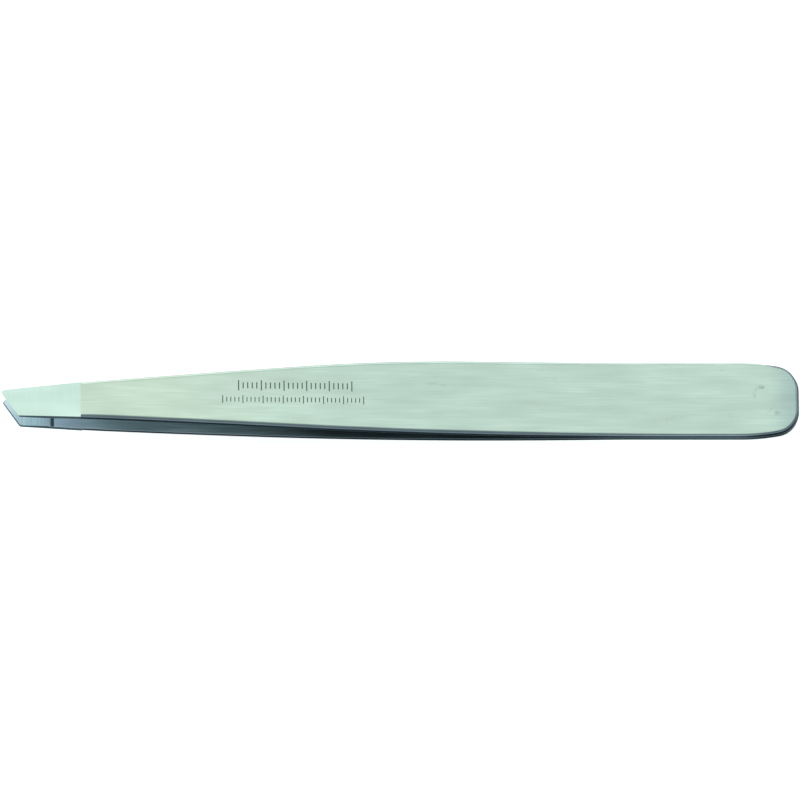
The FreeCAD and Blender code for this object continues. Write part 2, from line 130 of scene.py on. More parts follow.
class Tree:
    """Adds nodes to a shader tree or to a geometry tree."""

    def __init__(self, nodes: bpy.types.NodeTree) -> None:
        """Starts on a node tree."""
        self.nodes = nodes

    def add(
        self, kind: str, settings: dict | None = None, inputs: dict | None = None
    ) -> bpy.types.Node:
        """Adds one node.

        Args:
            kind: the node's type.
            settings: its own properties, which are set first.
            inputs: a value, a Wire or an output socket for each input, by name or number.

        Returns:
            The node.
        """
        node = self.nodes.nodes.new(kind)
        for name, value in (settings or {}).items():
            setattr(node, name, value)
        for key, value in (inputs or {}).items():
            socket = node.inputs[key]
            if isinstance(value, Wire):
                value = value.socket
            if isinstance(value, bpy.types.NodeSocket):
                self.nodes.links.new(value, socket)
            else:
                socket.default_value = value
        return node

    def math(self, operation: str, *values: Number) -> Wire:
        """Adds a Math node and returns its result."""
        node = self.add("ShaderNodeMath", {"operation": operation}, dict(enumerate(values)))
        return Wire(self, node.outputs[0])

    def split(self, vector: bpy.types.NodeSocket) -> tuple[Wire, Wire, Wire]:
        """The three parts of a vector."""
        node = self.add("ShaderNodeSeparateXYZ", {}, {0: vector})
        return tuple(Wire(self, output) for output in node.outputs)

    def join(self, x: Number, y: Number, z: Number) -> bpy.types.NodeSocket:
        """A vector of three numbers."""
        return self.add("ShaderNodeCombineXYZ", {}, {0: x, 1: y, 2: z}).outputs[0]

    def noise(self, place: bpy.types.NodeSocket, scale: float, detail: float) -> Wire:
        """Smooth noise between 0 and 1, with a middle of one half."""
        inputs = {"Vector": place, "Scale": scale, "Detail": detail}
        return Wire(self, self.add("ShaderNodeTexNoise", {}, inputs).outputs[0])

    def ramp(self, value: Wire, low: float, high: float) -> Wire:
        """0 where value is below low, 1 above high, and a smooth step between."""
        inputs = {"Value": value, "From Min": low, "From Max": high}
        node = self.add("ShaderNodeMapRange", {"interpolation_type": "SMOOTHSTEP"}, inputs)
        return Wire(self, node.outputs[0])

    def mix(self, factor: Wire, first: object, second: object) -> bpy.types.NodeSocket:
        """Mixes two colours.

        Args:
            factor: 0 gives the first, 1 the second.
            first: a colour, or the output socket of one.
            second: likewise.

        Returns:
            The mixed colour.
        """
        colours = [(*c, 1.0) if isinstance(c, tuple) else c for c in (first, second)]
        inputs = {"Factor": factor, 6: colours[0], 7: colours[1]}
        return self.add("ShaderNodeMix", {"data_type": "RGBA"}, inputs).outputs[2]

    def shade(self, colour: object, brightness: Wire) -> bpy.types.NodeSocket:
        """A colour times a brightness."""
        scale = {"operation": "SCALE"}
        return self.add("ShaderNodeVectorMath", scale, {0: colour, "Scale": brightness}).outputs[0]


def add_object(name: str, data: bpy.types.ID) -> bpy.types.Object:
    """Makes an object of some data and puts it in the scene."""
    thing = bpy.data.objects.new(name, data)
    bpy.context.scene.collection.objects.link(thing)
    return thing


# ---------------------------------------------------------------- finishes, with painted light and shade

FLAT_PLACE = "flat_place"
# Mask of the cut edges: it carries their painted shade and their own roughness.
EDGE_SHADE_AND_FINISH = "edge_finish"
# Mask of the inner faces: it carries their painted shade and the pad's grinding marks.
INNER_SHADE_AND_GRIND = "inner_finish"


@dataclass(frozen=True)
class Grain:
    """Smooth noise in the sheet: how fast it changes each way, per mm, and where it starts."""

    along: float
    across: float
    through: float
    detail: float
    start_along: float = 0.0
    start_through: float = 0.0

    def sample(self, tree: Tree, x: Wire, y: Wire, z: Wire) -> Wire:
        """The noise at a place of the flat blank, between 0 and 1."""
        along = x * self.along + self.start_along
        through = z * self.through + self.start_through
        return tree.noise(tree.join(along, y * self.across, through), 1.0, self.detail)


@dataclass(frozen=True)
class Weights:
    """How strongly the fine and broad brushing and the cross grinding show."""

    fine: float
    broad: float
    crossed: float = 0.0


@dataclass(frozen=True)
class WeldMark:
    """The ring that one spot weld left on an arm's face, in the flat blank's frame in mm."""

    x: float
    y: float
    radius: float


@dataclass(frozen=True)
class MarkLook:
    """The look of a spot weld's mark: a faint broken ring with a dark burn on it. Sizes in mm."""

    ring_width: float = 0.24
    ring_strength: float = 0.7
    break_up: float = 0.8
    break_along: float = 0.6
    break_span: Span = (-0.5, 0.9)
    patch_scale: float = 1.7
    patch_detail: float = 2.0
    patch_span: Span = (0.40, 0.62)
    burn_angles: tuple[float, ...] = (95.0, 10.0)
    burn_size: float = 0.65
    burn_strength: float = 0.8
    burn_flatness: float = 3.0


@dataclass(frozen=True)
class BrushedSteel:
    """Stainless sheet, brushed lengthwise and ground bright at the tip, with painted shade on its cut edges,
    shoulders, groove and inner faces, painted light near the tip between the arms, and a painted reflection at the
    heel.
    """

    name: str = "arm_steel"
    nose_colour: Colour = (0.572, 0.70, 0.567)
    body_colour: Colour = (0.512, 0.65, 0.556)
    tip_colour: Colour = (0.612, 0.785, 0.686)
    # Painted reflection that darkens the last few mm of the heel's end.
    heel_reflection_colour: Colour = (0.39, 0.52, 0.475)
    # Painted shade on the rounded shoulders of the edges.
    shoulder_shade_colour: Colour = (0.33, 0.43, 0.48)
    # Painted shade on the cut edges' walls, and a darkened specular tint that dims their grazing reflections.
    wall_shade_colour: Colour = (0.12, 0.155, 0.17)
    heel_wall_shade_colour: Colour = (0.24, 0.29, 0.31)
    tip_wall_shade_colour: Colour = (0.26, 0.31, 0.33)
    wall_shade_tint: Colour = (0.13, 0.15, 0.16)
    # Painted light and shade on the inner faces between the arms: bright where light enters at the tip's opening,
    # darker deeper in the gap towards the heel.
    inner_nose_light_colour: Colour = (0.67, 0.79, 0.87)
    inner_shade_colour: Colour = (0.31, 0.40, 0.42)
    inner_deep_shade_colour: Colour = (0.10, 0.145, 0.155)
    pad_colour: Colour = (0.60, 0.715, 0.75)
    # Painted shade in the groove at the pad's step.
    groove_shade_colour: Colour = (0.10, 0.135, 0.155)
    roughness: float = 0.34
    tip_roughness: float = 0.30
    edge_roughness: float = 0.24
    ground_to: float = -38.05
    ground_blur: float = 0.08
    pad_start: float = -42.0
    groove_end: float = -41.57
    nose_span: Span = (-32.0, -6.0)
    heel_span: Span = (43.5, 47.3)
    shoulder_span: Span = (0.0, 0.6)
    inner_nose_span: Span = (-43.0, -32.0)
    inner_deep_span: Span = (-22.0, -6.0)
    heel_edge_span: Span = (16.0, 38.0)
    end_edge_span: Span = (40.0, 44.0)
    fine: Grain = Grain(0.21, 5.0, 5.0, 3.0)
    broad: Grain = Grain(0.14, 1.3, 1.3, 2.0, start_along=9.0)
    cloud: Grain = Grain(0.16, 0.5, 1.0, 1.0, start_along=31.0)
    crossed: Grain = Grain(4.5, 0.25, 1.0, 3.0)
    scuff: Grain = Grain(0.45, 1.1, 1.0, 3.0, start_through=5.0)
    patch_span: Span = (-0.22, 0.22)
    scuff_span: Span = (0.66, 0.78)
    brushing_lost: float = 0.75
    bright_weights: Weights = Weights(0.16, 0.22, 0.10)
    rough_weights: Weights = Weights(0.16, 0.06)
    height_weights: Weights = Weights(0.7, 0.5, 0.3)
    patch_weight: float = 0.30
    cloud_weight: float = 0.26
    scuff_weight: float = 0.10
    mark_weight: float = 0.26
    mark_roughness: float = 0.05
    pad_weight: float = 0.5
    bump_strength: float = 0.18
    bump_depth: float = 0.02
    mark: MarkLook = MarkLook()

    def make(self, marks: list[WeldMark]) -> bpy.types.Material:
        """Builds the material.

        Args:
            marks: the spot weld marks.

        Returns:
            The material.
        """
        material = bpy.data.materials.new(self.name)
        material.use_nodes = True
        tree = Tree(material.node_tree)
        shader = material.node_tree.nodes["Principled BSDF"]
        x, y, z = tree.split(self._attribute(tree, FLAT_PLACE, "Vector"))
        edge = Wire(tree, self._attribute(tree, EDGE_SHADE_AND_FINISH, "Fac"))
        inner = Wire(tree, self._attribute(tree, INNER_SHADE_AND_GRIND, "Fac"))

        fine, broad, cloud, crossed = (
            grain.sample(tree, x, y, z) - 0.5
            for grain in (self.fine, self.broad, self.cloud, self.crossed)
        )
        blur = self.ground_blur
        ground = 1 - tree.ramp(x, self.ground_to - blur, self.ground_to + blur)
        lengthwise = 1 - self.brushing_lost * ground
        patches = tree.ramp(cloud + broad, *self.patch_span)
        scuffs = tree.ramp(self.scuff.sample(tree, x, y, z), *self.scuff_span)
        rings = self._rings(tree, x, y, marks)

        weights = self.bright_weights
        bright = 1 + fine * (weights.fine + self.patch_weight * patches) * lengthwise
        bright = bright + broad * weights.broad * lengthwise
        bright = bright + cloud * self.cloud_weight - scuffs * self.scuff_weight
        bright = bright + crossed * weights.crossed * ground - rings * self.mark_weight
        bright = bright + crossed * self.pad_weight * inner * (x < self.pad_start)

        colour = tree.mix(tree.ramp(x, *self.nose_span), self.nose_colour, self.body_colour)
        colour = tree.mix(ground, colour, self.tip_colour)
        # Painted reflection darkens the heel's end.
        colour = tree.mix(tree.ramp(x, *self.heel_span), colour, self.heel_reflection_colour)
        # Painted light near the tip and painted shade deeper in the gap between the arms, standing in for the
        # light that the opening lets in.
        nose = tree.ramp(x, *self.inner_nose_span)
        inside = tree.mix(nose, self.inner_nose_light_colour, self.inner_shade_colour)
        inside = tree.mix(tree.ramp(x, *self.inner_deep_span), inside, self.inner_deep_shade_colour)
        # Painted shade darkens the groove at the pad's step.
        inside = tree.mix(x < self.groove_end, inside, self.groove_shade_colour)
        inside = tree.mix(x < self.pad_start, inside, self.pad_colour)
        colour = tree.mix(inner, colour, inside)
        # Painted shade on the rounded shoulders next to the cut edges.
        colour = tree.mix(tree.ramp(edge, *self.shoulder_span), colour, self.shoulder_shade_colour)
        # Painted shade on the cut edges' walls: darkest along the blade and at the heel's end, lighter on the
        # ground tip and by the heel.
        wall = tree.mix(ground, self.wall_shade_colour, self.tip_wall_shade_colour)
        wall = tree.mix(tree.ramp(x, *self.heel_edge_span), wall, self.heel_wall_shade_colour)
        wall = tree.mix(tree.ramp(x, *self.end_edge_span), wall, self.wall_shade_colour)

        weights = self.rough_weights
        rough = self.roughness + fine * weights.fine * lengthwise + broad * weights.broad
        rough = rough + rings * self.mark_roughness
        rough = rough - ground * (self.roughness - self.tip_roughness)
        weights = self.height_weights
        height = (fine * weights.fine + broad * weights.broad) * lengthwise
        height = height + crossed * weights.crossed * ground
        bump = tree.add(
            "ShaderNodeBump", {},
            {"Strength": self.bump_strength, "Distance": self.bump_depth * MM, "Height": height},
        )
        links = material.node_tree.links
        links.new(tree.shade(colour, bright), shader.inputs["Base Color"])
        links.new(rough.socket, shader.inputs["Roughness"])
        links.new(bump.outputs[0], shader.inputs["Normal"])
        shader.inputs["Metallic"].default_value = 1.0
        # The cut edges' shader: painted shade in its colour and its darkened specular tint, with its own
        # roughness.
        cut = tree.add(
            "ShaderNodeBsdfPrincipled", {},
            {"Base Color": tree.shade(wall, bright), "Roughness": self.edge_roughness,
             "Metallic": 1.0, "Specular Tint": (*self.wall_shade_tint, 1.0), "Normal": bump.outputs[0]},
        )
        shaders = {0: edge, 1: shader.outputs[0], 2: cut.outputs[0]}
        both = tree.add("ShaderNodeMixShader", {}, shaders)
        links.new(both.outputs[0], material.node_tree.nodes["Material Output"].inputs["Surface"])
        return material

    @staticmethod
    def _attribute(tree: Tree, name: str, output: str) -> bpy.types.NodeSocket:
        """One output of a mesh attribute."""
        return tree.add("ShaderNodeAttribute", {"attribute_name": name}).outputs[output]

    def _rings(self, tree: Tree, x: Wire, y: Wire, marks: list[WeldMark]) -> Wire:
        """Faint broken rings, where the welding electrodes pressed.

        Args:
            tree: the material's tree.
            x: the place along the blank.
            y: the place across it.
            marks: the spot weld marks.

        Returns:
            High on a ring's line and in its burn, fading to 0 beside them.
        """
        look = self.mark
        total = 0.0
        for mark, burn in zip(marks, look.burn_angles):
            radius = mark.radius
            along, up = x - mark.x, y - mark.y
            reach = tree.math("SQRT", along * along + up * up)
            off_line = tree.math("ABSOLUTE", reach - radius)
            faint, full = (radius * share for share in look.break_span)
            broken = tree.ramp(up * look.break_up - along * look.break_along, faint, full)
            patches = tree.noise(tree.join(x, y, 0.0), look.patch_scale, look.patch_detail)
            patchy = tree.ramp(patches, *look.patch_span)
            ring = (1 - tree.ramp(off_line, 0.0, look.ring_width)) * look.ring_strength
            total = ring * broken * patchy + total
            turn = math.radians(burn)
            along, up = along - radius * math.cos(turn), up - radius * math.sin(turn)
            reach = tree.math("SQRT", along * along + up * up * look.burn_flatness)
            total = (1 - tree.ramp(reach, 0.0, look.burn_size)) * look.burn_strength + total
        return total


@dataclass(frozen=True)
class PlainFinish:
    """A finish that is the same all over."""

    name: str
    colour: Colour
    roughness: float
    metallic: float = 0.0
    glow: float = 0.0

    def make(self) -> bpy.types.Material:
        """Builds the material."""
        material = bpy.data.materials.new(self.name)
        material.use_nodes = True
        inputs = material.node_tree.nodes["Principled BSDF"].inputs
        inputs["Base Color"].default_value = (*self.colour, 1.0)
        inputs["Roughness"].default_value = self.roughness
        inputs["Metallic"].default_value = self.metallic
        inputs["Emission Color"].default_value = (*self.colour, 1.0)
        inputs["Emission Strength"].default_value = self.glow
        return material


ETCHED_OXIDE = PlainFinish("etched_oxide", (0.10, 0.14, 0.13), 0.6, 0.6)
WELD_METAL = PlainFinish("weld_metal", (0.45, 0.46, 0.46), 0.5, 1.0)


# ---------------------------------------------------------------- shapes in the joint plane's frame

@dataclass(frozen=True)
class SideLine:
    """The line that an arm's inner face follows, seen from the side. Sizes in mm and degrees."""

    half_length: float = 47.5
    joined_length: float = 19.0
    flexure_radius: float = 70.0
    spread_angle: float = 3.2
    crest_setback: float = 13.22
    belly_radius: float = 400.0
    nose_radius: float = 55.0
    tip_bend: float = 6.0
    overrun: float = 1.0
    stations: int = 1201

    def height(self, x: np.ndarray) -> np.ndarray:
        """How far the inner face is from the joint plane.

        Args:
            x: places along the tool.

        Returns:
            The heights at those places.
        """
        spread, dip = math.radians(self.spread_angle), math.radians(self.tip_bend)
        joint = self.half_length - self.joined_length
        root = joint - self.flexure_radius * math.sin(spread)
        crest = self.crest_setback - self.half_length
        belly = crest + self.belly_radius * math.sin(spread)
        nose = crest - self.nose_radius * math.sin(dip)
        root_z = self.flexure_radius * (1 - math.cos(spread))
        belly_z = root_z + (root - belly) * math.tan(spread)
        crest_z = belly_z + self.belly_radius * (1 - math.cos(spread))
        nose_z = crest_z - self.nose_radius * (1 - math.cos(dip))

        def sagged(radius: float, reach: np.ndarray) -> np.ndarray:
            """How far a circle falls away over a reach from its top."""
            return radius - np.sqrt(np.maximum(radius**2 - reach**2, 0))

        return np.select(
            [x >= joint, x >= root, x >= belly, x >= crest, x >= nose],
            [
                np.zeros_like(x),
                sagged(self.flexure_radius, joint - x),
                root_z + (root - x) * math.tan(spread),
                crest_z - sagged(self.belly_radius, x - crest),
                crest_z - sagged(self.nose_radius, crest - x),
            ],
            nose_z - (nose - x) * math.tan(dip),
        )

    def points(self) -> tuple[np.ndarray, np.ndarray, np.ndarray]:
        """The line as close points.

        Returns:
            Their places along the tool, their heights, and the length of line up to each.
        """
        reach = self.half_length + self.overrun
        x = np.linspace(-reach, reach, self.stations)
        z = self.height(x)
        run = np.concatenate([[0.0], np.cumsum(np.hypot(np.diff(x), np.diff(z)))])
        return x, z, run

    def make_curve(self) -> bpy.types.Object:
        """Makes the line as a curve object that the forming trees read."""
        x, z, _ = self.points()
        data = bpy.data.curves.new("side_line", "CURVE")
        data.dimensions = "3D"
        spline = data.splines.new("POLY")
        spline.points.add(len(x) - 1)
        places = np.stack([x * MM, 0 * x, z * MM, np.ones_like(x)], axis=1)
        spline.points.foreach_set("co", places.astype(np.float32).ravel())
        return add_object("side_line", data)


@dataclass(frozen=True)
class Outline:
    """The outline of an arm's blank, seen from above. Sizes in mm and degrees."""

    half_length: float = 47.5
    half_width: float = 4.45
    corner_radius: float = 2.8
    lead_radius: float = 26.0
    lead_length: float = 7.0
    long_taper_start: float = 56.0
    long_radius: float = 250.0
    long_taper: float = 4.6
    short_taper_start: float = 68.0
    short_radius: float = 837.0
    short_taper: float = 2.46
    slant: float = 36.0
    long_point_radius: float = 0.35
    short_point_radius: float = 0.30

    @property
    def corner(self) -> tuple[float, float]:
        """The middle of the arc at a heel corner, on the long side."""
        x = self.half_length - self.corner_radius
        rise = self.lead_radius - self.corner_radius
        across = math.sqrt(rise**2 - (x - self.lead_start) ** 2)
        return x, self.half_width - self.lead_radius + across

    @property
    def lead_start(self) -> float:
        """Where the sides start to bend in towards the heel."""
        return self.half_length - self.lead_length

    @property
    def lead_end(self) -> float:
        """Where the lead arc hands over to the corner arc."""
        x = self.corner[0]
        share = self.lead_radius / (self.lead_radius - self.corner_radius)
        return self.lead_start + (x - self.lead_start) * share

    def side(self, x: np.ndarray, start: float, radius: float, taper: float) -> np.ndarray:
        """One side's distance from the middle line.

        Args:
            x: places along the tool.
            start: where the taper starts, from the tip.
            radius: the radius that leads into the taper.
            taper: the taper's angle.

        Returns:
            The distances at those places.
        """
        angle = math.radians(taper)
        begin = start - self.half_length
        end = begin - radius * math.sin(angle)
        end_y = self.half_width - radius * (1 - math.cos(angle))
        corner_x, corner_y = self.corner
        lead = x - self.lead_start
        bend = begin - x
        turn = x - corner_x
        return np.select(
            [x > self.lead_end, x > self.lead_start, x > begin, x > end],
            [
                corner_y + np.sqrt(np.maximum(self.corner_radius**2 - turn**2, 0)),
                self.half_width - self.lead_radius
                + np.sqrt(np.maximum(self.lead_radius**2 - lead**2, 0)),
                np.full_like(x, self.half_width),
                self.half_width - radius + np.sqrt(np.maximum(radius**2 - bend**2, 0)),
            ],
            end_y - (end - x) * math.tan(angle),
        )

    def long_side(self, x: np.ndarray) -> np.ndarray:
        """The y of the long point's side."""
        return self.side(x, self.long_taper_start, self.long_radius, self.long_taper)

    def short_side(self, x: np.ndarray) -> np.ndarray:
        """The y of the short point's side."""
        return -self.side(x, self.short_taper_start, self.short_radius, self.short_taper)

    def tip(self, y: np.ndarray) -> np.ndarray:
        """The x of the slanted tip.

        Args:
            y: places across the tool.

        Returns:
            Where the slant is at those places, its rounded points included.
        """
        cut = math.radians(self.slant)
        radius, small = self.long_point_radius, self.short_point_radius
        long_x = radius - self.half_length
        lean = math.cos(math.radians(self.long_taper))
        long_y = float(self.long_side(np.array([long_x]))[0]) - radius / lean
        start_x = long_x - radius * math.cos(cut)
        start_y = long_y - radius * math.sin(cut)
        line = start_x + (start_y - y) * math.tan(cut)
        long_arc = long_x - np.sqrt(np.maximum(radius**2 - (y - long_y) ** 2, 0))

        # The small arc touches the slant, and the short side a little way behind it.
        lean = math.cos(math.radians(self.short_taper))
        near = start_x + (start_y + self.half_width / 2) * math.tan(cut)
        short_y = float(self.short_side(np.array([near]))[0]) + small / lean
        short_x = start_x + (start_y - short_y) * math.tan(cut) + small / math.cos(cut)
        short_arc = short_x - np.sqrt(np.maximum(small**2 - (y - short_y) ** 2, 0))
        touch = short_y - small * math.sin(cut)
        return np.where(y > start_y, long_arc, np.where(y < touch, short_arc, line))

    def edge_distance(self, x: np.ndarray, y: np.ndarray) -> np.ndarray:
        """How far a place is inside the sides and the heel's end.

        Args:
            x: places along the tool.
            y: places across it.

        Returns:
            The distances. The slanted tip doesn't count, because it is ground sharp.
        """
        sides = np.minimum(self.long_side(x) - y, y - self.short_side(x))
        corner_x, corner_y = self.corner
        beyond = np.hypot(np.maximum(x - corner_x, 0), np.maximum(np.abs(y) - corner_y, 0))
        return np.where(x > self.lead_end, self.corner_radius - beyond, sides)


class Side(enum.Enum):
    """Which side of the joint plane an arm is on."""

    UPPER = 1
    LOWER = -1


# ---------------------------------------------------------------- trees that form and grind

def bent(
    tree: Tree, place: bpy.types.NodeSocket, line: bpy.types.NodeSocket
) -> tuple[Wire, Wire, Wire]:
    """Bends a flat place along the side line.

    Args:
        tree: the geometry tree.
        place: the place: length along the line, place across, height above it.
        line: the side line's geometry.

    Returns:
        The place's three parts after bending.
    """
    length, across, height = tree.split(place)
    inputs = {"Curves": line, "Length": length}
    sample = tree.add("GeometryNodeSampleCurve", {"mode": "LENGTH"}, inputs)
    line_x, _, line_z = tree.split(sample.outputs["Position"])
    run, _, rise = tree.split(sample.outputs["Tangent"])
    return line_x - rise * height, across, line_z + run * height


def new_tree(name: str, numbers: tuple[str, ...]) -> tuple[Tree, dict, dict[str, Wire]]:
    """Starts a geometry tree that takes geometry, a side line, numbers and a material.

    Args:
        name: the tree's name.
        numbers: the names of its numbers. A count is a whole number.

    Returns:
        The tree, its inputs' sockets by name, and its numbers as Wires.
    """
    kinds = {"Side Line": "NodeSocketObject"}
    for label in numbers:
        kinds[label] = "NodeSocketInt" if label == "Count" else "NodeSocketFloat"
    kinds["Material"] = "NodeSocketMaterial"
    group = bpy.data.node_groups.new(name, "GeometryNodeTree")
    group.interface.new_socket("Geometry", in_out="INPUT", socket_type="NodeSocketGeometry")
    for label, kind in kinds.items():
        group.interface.new_socket(label, in_out="INPUT", socket_type=kind)
    group.interface.new_socket("Geometry", in_out="OUTPUT", socket_type="NodeSocketGeometry")
    tree = Tree(group)
    given = tree.add("NodeGroupInput")
    want = {label: given.outputs[label] for label in ("Geometry", *kinds)}
    return tree, want, {label: Wire(tree, want[label]) for label in numbers}


def end_tree(tree: Tree, geometry: bpy.types.NodeSocket, material: bpy.types.NodeSocket) -> None:
    """Ends a geometry tree with real geometry in its material."""
    real = tree.add("GeometryNodeRealizeInstances", {}, {0: geometry}).outputs[0]
    dressed = tree.add("GeometryNodeSetMaterial", {}, {"Geometry": real, "Material": material})
    tree.add("NodeGroupOutput", {}, {0: dressed.outputs[0]})


def run_tree(
    mesh: bpy.types.Mesh, tree: Tree, values: dict[str, object], name: str
) -> bpy.types.Object:
    """Runs a geometry tree on a mesh.

    Args:
        mesh: the mesh to start from.
        tree: the tree.
        values: the tree's inputs by name.
        name: the new piece's name.

    Returns:
        A plain mesh object of that name.
    """
    holder = add_object(name + "_blank", mesh)
    modifier = holder.modifiers.new("forming", "NODES")
    modifier.node_group = tree.nodes
    for item in tree.nodes.interface.items_tree:
        if item.in_out == "INPUT" and item.name in values:
            modifier[item.identifier] = values[item.name]
    evaluated = holder.evaluated_get(bpy.context.evaluated_depsgraph_get())
    plain = bpy.data.meshes.new_from_object(evaluated)
    holder.modifiers.remove(modifier)
    bpy.data.objects.remove(holder)
    return add_object(name, plain)


# ---------------------------------------------------------------- sub-assemblies

@dataclass(frozen=True)
class Layout:
    """Where the tool lies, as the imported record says."""

    middle: Vector
    normal: Vector

    @classmethod
    def from_record(cls, record: dict, heel_middle: float) -> "Layout":
        """Reads the heel's two flats.

        Args:
            record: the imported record.
            heel_middle: the flats' place along the tool, in mm.

        Returns:
            The layout.
        """
        flats = {mount["name"]: mount for mount in record["mounts"]}
        upper, lower = flats["upper_heel_flat"], flats["lower_heel_flat"]
        normal = Vector(upper["axis"]).normalized()
        between = (Vector(upper["pos_m"]) + Vector(lower["pos_m"])) / 2
        return cls(between - ACROSS.cross(normal) * heel_middle * MM, normal)

    @property
    def along(self) -> Vector:
        """The direction from the tips to the heel."""
        return ACROSS.cross(self.normal)

    @property
    def matrix(self) -> Matrix:
        """Takes the joint plane's frame, in metres, to the table."""
        turn = Matrix((self.along, ACROSS, self.normal)).transposed().to_4x4()
        return Matrix.Translation(self.middle) @ turn


@dataclass(frozen=True)
class EdgeShadeReach:
    """How much of an edge's rounding gets the cut edge's painted shade and roughness, as shares of its radius.

    The near side is the short point's, and the painted shade reaches further on it; it fades at the middle of the
    heel's end. Places are in mm.
    """

    near_side: float = 0.85
    far_side: float = 0.20
    heel: float = 0.95
    heel_from: float = 43.2
    heel_run: float = 1.6
    end_half: float = 1.4
    end_run: float = 1.2
    end_loss: float = 0.6
    softness: float = 0.85

    def share(self, x: np.ndarray, y: np.ndarray) -> np.ndarray:
        """The share of the radius at places along and across the tool."""
        at_heel = np.clip((x - self.heel_from) / self.heel_run, 0, 1)
        sides = np.where(y < 0, self.near_side, self.far_side)
        beside = np.clip((np.abs(y) - self.end_half) / self.end_run, 0, 1)
        return np.maximum(sides, self.heel * at_heel) * (1 - self.end_loss * at_heel * (1 - beside))


@dataclass
class Arm:
    """One arm: a strip blanked from sheet, formed along the side line and ground at the tip."""

    side: Side
    layout: Layout
    line: SideLine = field(default_factory=SideLine)
    outline: Outline = field(default_factory=Outline)
    thickness: float = 1.35
    inner_break: float = 0.06
    blade_rounding: float = 0.46
    heel_rounding: float = 0.30
    ground_rounding: float = 0.02
    rounding_from: float = 14.0
    rounding_run: float = 20.0
    edge_shade_reach: EdgeShadeReach = EdgeShadeReach()
    inner_edge: float = 0.01
    pad_length: float = 5.8
    tip_thickness: float = 0.5
    tip_allowance: float = 0.12
    allowance_from: float = -38.0
    allowance_run: float = 3.0
    facet_angle: float = 5.8
    ground_to: float = -38.05
    groove_lead: float = 0.30
    groove_width: float = 0.4
    groove_depth: float = 0.07
    groove_reach: float = 0.5
    closing_angle: float = 1.978
    ground_line_depth: float = 0.012
    ground_line_scale: float = 5.5
    ground_line_detail: float = 3.0
    ground_line_seed: float = 3.7
    weld_dent: float = 0.02
    weld_dent_width: float = 0.16
    edge_rows: tuple[float, ...] = (0, 0.012, 0.04, 0.08, 0.13, 0.19, 0.26, 0.34, 0.42, 0.55)
    groove_columns: tuple[float, ...] = (0.0, 0.12, 0.26, 0.4)
    groove_clear: float = 1.5
    fine_step: float = 0.04
    fine_steps: tuple[int, ...] = (0, 1, 3, 8)
    tip_crowding: float = 1.15
    slant_rounds: int = 40
    tip_columns: int = 120
    nose_columns: int = 18
    blade_columns: int = 150
    heel_columns: int = 44
    corner_columns: int = 30
    middle_rows: int = 44
    wall_steps: int = 3
    sharp_angle: float = 28.0
    flex_reach: float = 7.0
    slip: float = 0.0

    @property
    def name(self) -> str:
        """The piece's name, which is also its body's."""
        return "upper_arm" if self.side is Side.UPPER else "lower_arm"

    @property
    def pad_start(self) -> float:
        """Where the grip pad starts."""
        return self.pad_length - self.line.half_length

    def _row_offsets(self, width: np.ndarray) -> np.ndarray:
        """How far each row of the blank's grid is from the short side.

        Args:
            width: the blank's width at each column.

        Returns:
            One column of offsets for each width. Rows crowd at the rounded edges.
        """
        crowd = np.array(self.edge_rows)
        share = np.linspace(0, 1, self.middle_rows + 2)[1:-1]
        last = crowd[-1]
        middle = last + share[:, None] * (width - 2 * last)[None, :]
        low = np.repeat(crowd[:, None], len(width), axis=1)
        high = width[None, :] - low[::-1]
        return np.concatenate([low, middle, high])

    def _grid(self) -> tuple[np.ndarray, np.ndarray]:
        """The places of the blank's grid, by row and column.

        Returns:
            x and y. Columns follow the slanted tip, the pad's start, the end of the ground
            zone and the heel's corners.
        """
        outline = self.outline
        corner_x = outline.corner[0]
        first_turn = math.asin((outline.lead_end - corner_x) / outline.corner_radius)
        turns = np.linspace(first_turn, math.pi / 2, self.corner_columns)
        at_edge = self.ground_to + np.array(self.fine_steps) * self.fine_step
        behind_groove = self.pad_start + self.groove_clear * self.groove_width
        fixed = np.concatenate([
            self.pad_start + np.array(self.groove_columns) * self.groove_width,
            np.linspace(behind_groove, self.ground_to - self.fine_step, self.nose_columns),
            at_edge[:-1],
            np.linspace(at_edge[-1], outline.lead_start, self.blade_columns),
            np.linspace(outline.lead_start, outline.lead_end, self.heel_columns)[1:-1],
            corner_x + outline.corner_radius * np.sin(turns),
        ])

        def rows_at(x: np.ndarray) -> np.ndarray:
            """The y of every row at one column for each x."""
            short = outline.short_side(x)
            return short[None, :] + self._row_offsets(outline.long_side(x) - short)

        count = len(self._row_offsets(np.array([1.0])))
        pick = np.arange(count)
        x = np.full(count, -outline.half_length)
        for _ in range(self.slant_rounds):
            y = rows_at(x)[pick, pick]
            x = outline.tip(y)
        share = np.linspace(0, 1, self.tip_columns)[:-1] ** self.tip_crowding
        tip_x = x[:, None] + (self.pad_start - x)[:, None] * share[None, :]
        tip_y = np.stack([rows_at(tip_x[:, k])[pick, pick] for k in range(len(share))], axis=1)
        fixed_x = np.repeat(fixed[None, :], count, axis=0)
        fixed_y = rows_at(fixed)
        return np.concatenate([tip_x, fixed_x], axis=1), np.concatenate([tip_y, fixed_y], axis=1)

    def _rounding(self, x: np.ndarray) -> np.ndarray:
        """The radius of the outer edges: none where the tip is ground, smaller at the heel."""
        towards_heel = np.clip((x - self.rounding_from) / self.rounding_run, 0, 1)
        radius = self.blade_rounding + (self.heel_rounding - self.blade_rounding) * towards_heel
        small = self.ground_rounding
        return np.where(x < self.ground_to + small, small, radius)

    @staticmethod
    def _drop(distance: np.ndarray, radius: np.ndarray) -> np.ndarray:
        """How far a rounded edge falls away at a distance inside the outline."""
        short = np.maximum(radius - np.maximum(distance, 0), 0)
        return radius - np.sqrt(np.maximum(radius**2 - short**2, 0))

